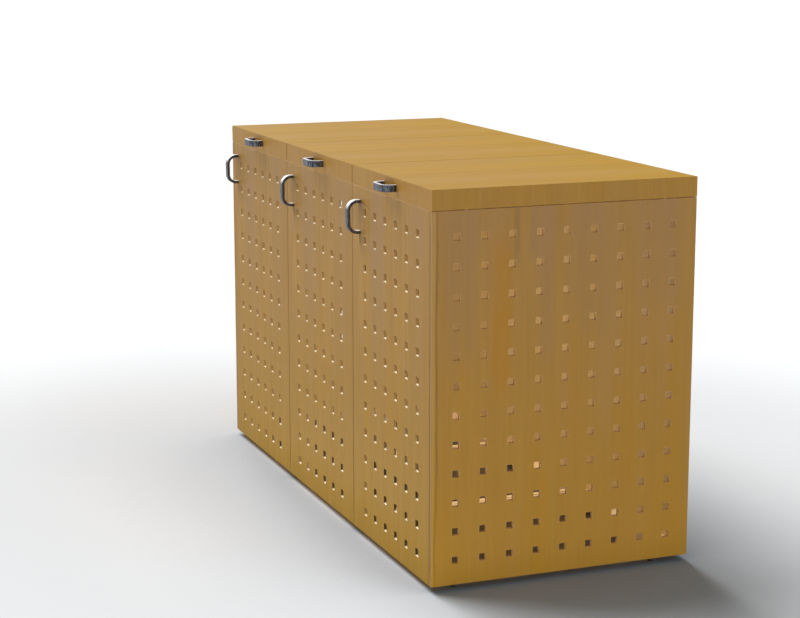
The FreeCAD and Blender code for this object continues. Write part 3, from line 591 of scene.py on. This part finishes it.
bm = bmesh.new()
bmesh.ops.create_grid(bm, x_segments=1, y_segments=1, size=250.0)
me = bpy.data.meshes.new("floor")
bm.to_mesh(me)
bm.free()
floor = bpy.data.objects.new("floor", me)
scene.collection.objects.link(floor)
n = Net("pale_floor")
xyz = n.split(n.mapping((1, 1, 0)))
away = n.math("SQRT", n.math("ADD", n.math("MULTIPLY", xyz[0], xyz[0]), n.math("MULTIPLY", xyz[1], xyz[1])))
# painted shade: the floor is greyer within about 1.4 m of the cabinet's centre and whitens out to 3.3 m
reach = n.rng(away, 1.4, 3.3, 0.0, 1.0, True)
cloud = n.noise(n.mapping((1, 1, 1)), 1.1, 3.0, 0.5)
near = n.mix(n.rng(cloud, 0.3, 0.7), (0.768, 0.774, 0.784, 1), (0.778, 0.784, 0.794, 1))
# painted shade: ambient occlusion darkens the floor near the cabinet, a painted rectangle darkens it under the
# cabinet, and the shaded floor is tinted cooler by darkening red most and blue least
ao = n.nt.nodes.new("ShaderNodeAmbientOcclusion")
ao.samples = 8
ao.inputs["Distance"].default_value = 0.80
shade = n.rng(ao.outputs["AO"], 0.50, 0.97, 0.60, 1.0)
under = n.math("MULTIPLY", n.rng(n.math("ABSOLUTE", xyz[0]), 0.88, 0.98, 1.0, 0.0), n.rng(n.math("ABSOLUTE", n.math("SUBTRACT", xyz[1], 0.02)), 0.35, 0.42, 1.0, 0.0))
shade = n.math("MULTIPLY", shade, n.rng(under, 0.0, 1.0, 1.0, 0.62))
grey = n.nt.nodes.new("ShaderNodeCombineXYZ")
for k, p in enumerate((1.0, 0.86, 0.70)):
    n.link(n.math("POWER", shade, p), grey.inputs[k])
n.link(n.mix(1.0, n.mix(reach, near, (1.0, 1.0, 1.0, 1)), grey.outputs[0], "MULTIPLY"), n.bsdf.inputs["Base Color"])
n.bsdf.inputs["Roughness"].default_value = 0.95
n.bsdf.inputs["Specular IOR Level"].default_value = 0.0
me.materials.append(n.mat)

world = bpy.data.worlds.new("studio")
scene.world = world
world.use_nodes = True
wn = world.node_tree
wn.nodes.clear()
wo = wn.nodes.new("ShaderNodeOutputWorld")
wb = wn.nodes.new("ShaderNodeBackground")
wt = wn.nodes.new("ShaderNodeTexCoord")
ws = wn.nodes.new("ShaderNodeSeparateXYZ")
wr = wn.nodes.new("ShaderNodeValToRGB")
wn.links.new(wt.outputs["Generated"], ws.inputs[0])
wn.links.new(ws.outputs[2], wr.inputs[0])
wn.links.new(wr.outputs[0], wb.inputs[0])
wn.links.new(wb.outputs[0], wo.inputs[0])
e = wr.color_ramp.elements
e[0].position, e[0].color = 0.0, (0.85, 0.85, 0.86, 1)
e[1].position, e[1].color = 0.9, (1.0, 1.0, 1.0, 1)
# a dim world lights the scene; beyond the floor's edge the camera sees a plain white backdrop
wl = wn.nodes.new("ShaderNodeLightPath")
wm = wn.nodes.new("ShaderNodeMath")
wm.operation = "MULTIPLY_ADD"
wn.links.new(wl.outputs["Is Camera Ray"], wm.inputs[0])
wm.inputs[1].default_value = 1.2
wm.inputs[2].default_value = 0.09
wn.links.new(wm.outputs[0], wb.inputs[1])



def sun(name, azimuth, elevation, spread, strength):
    """A soft distant source: azimuth from +X towards +Y, spread the width of its disc in degrees."""
    data = bpy.data.lights.new(name, "SUN")
    data.energy = strength
    data.angle = math.radians(spread)
    ob = bpy.data.objects.new(name, data)
    az, el = math.radians(azimuth), math.radians(elevation)
    towards = Vector((math.cos(el) * math.cos(az), math.cos(el) * math.sin(az), math.sin(el)))
    ob.rotation_euler = (-towards).to_track_quat("-Z", "Y").to_euler()
    scene.collection.objects.link(ob)
    return ob


sun("key_high", 202.0, 52.0, 46.0, 2.85)
sun("key_low", 184.0, 29.0, 30.0, 1.30)
sun("fill", 24.0, 9.0, 18.0, 0.50)
foot_glow = bpy.data.collections.new("right_side")
foot_glow.objects.link(NODES["side_panel_right"])
bounce = area("bounce", (1.62, 0.02, 0.02), (1.02, 0.02, 0.34), 1.2, 0.45, 0.7)
bounce.light_linking.receiver_collection = foot_glow
low_glow = area("low_glow", (1.27, 0.02, 0.012), (1.02, 0.02, 0.10), 1.1, 0.12, 0.5)
low_glow.light_linking.receiver_collection = foot_glow
wash = sun("side_wash", 8.0, 55.0, 20.0, 0.55)
wash.light_linking.receiver_collection = foot_glow
wash.light_linking.blocker_collection = foot_glow
fronts = bpy.data.collections.new("fronts")
for s in SIDES:
    fronts.objects.link(NODES["door_panel_" + s])
# a little cool light on the floor alone, against the warm light thrown back by the boards
ground = bpy.data.collections.new("ground")
ground.objects.link(floor)
cool = sun("floor_cool", 40.0, 40.0, 30.0, 0.26)
cool.data.color = (0.40, 0.78, 1.0)
cool.light_linking.receiver_collection = ground
front_glow = area("front_glow", (0.0, -0.72, 0.012), (0.0, -0.42, 0.12), 2.0, 0.12, 0.9)
front_glow.light_linking.receiver_collection = fronts
# light let through the vents from within, which only the door boards see
through = sun("through", 62.0, 50.0, 20.0, 2.2)
through.light_linking.receiver_collection = fronts
through.light_linking.blocker_collection = fronts

# weak lamps under the lids stand in for light bounced about inside; they reach timber only
boards = bpy.data.collections.new("inside_boards")
rails = bpy.data.collections.new("inside_rails")
for name, obj in NODES.items():
    if name.startswith(("back_panel", "side_panel_left", "post_", "top_rail")):
        boards.objects.link(obj)
    elif name.startswith("base_rail"):
        rails.objects.link(obj)
for x in (-0.665, 0.0, 0.665):
    lamp = area("bay_lamp_%+d" % round(x), (x, -0.30, 0.60), (x, 0.45, 0.60), 0.50, 0.95, 2.2)
    lamp.light_linking.receiver_collection = boards
    low = area("rail_lamp_%+d" % round(x), (x, -0.02, 1.10), (x, 0.0, 0.0), 0.40, 0.50, 5.6)
    low.light_linking.receiver_collection = rails

for o in scene.objects:
    if o.type == "LIGHT":
        o.visible_camera = False

cam_d = bpy.data.cameras.new("camera")
cam_d.lens = 86.04
cam_d.sensor_width = 36.0
cam_d.clip_end = 100.0
cam = bpy.data.objects.new("camera", cam_d)
scene.collection.objects.link(cam)
cam.location = (6.1084, -2.5173, 1.9620)
cam.rotation_euler = Vector((-0.91346, 0.35823, -0.19304)).to_track_quat("-Z", "Y").to_euler()
scene.camera = cam
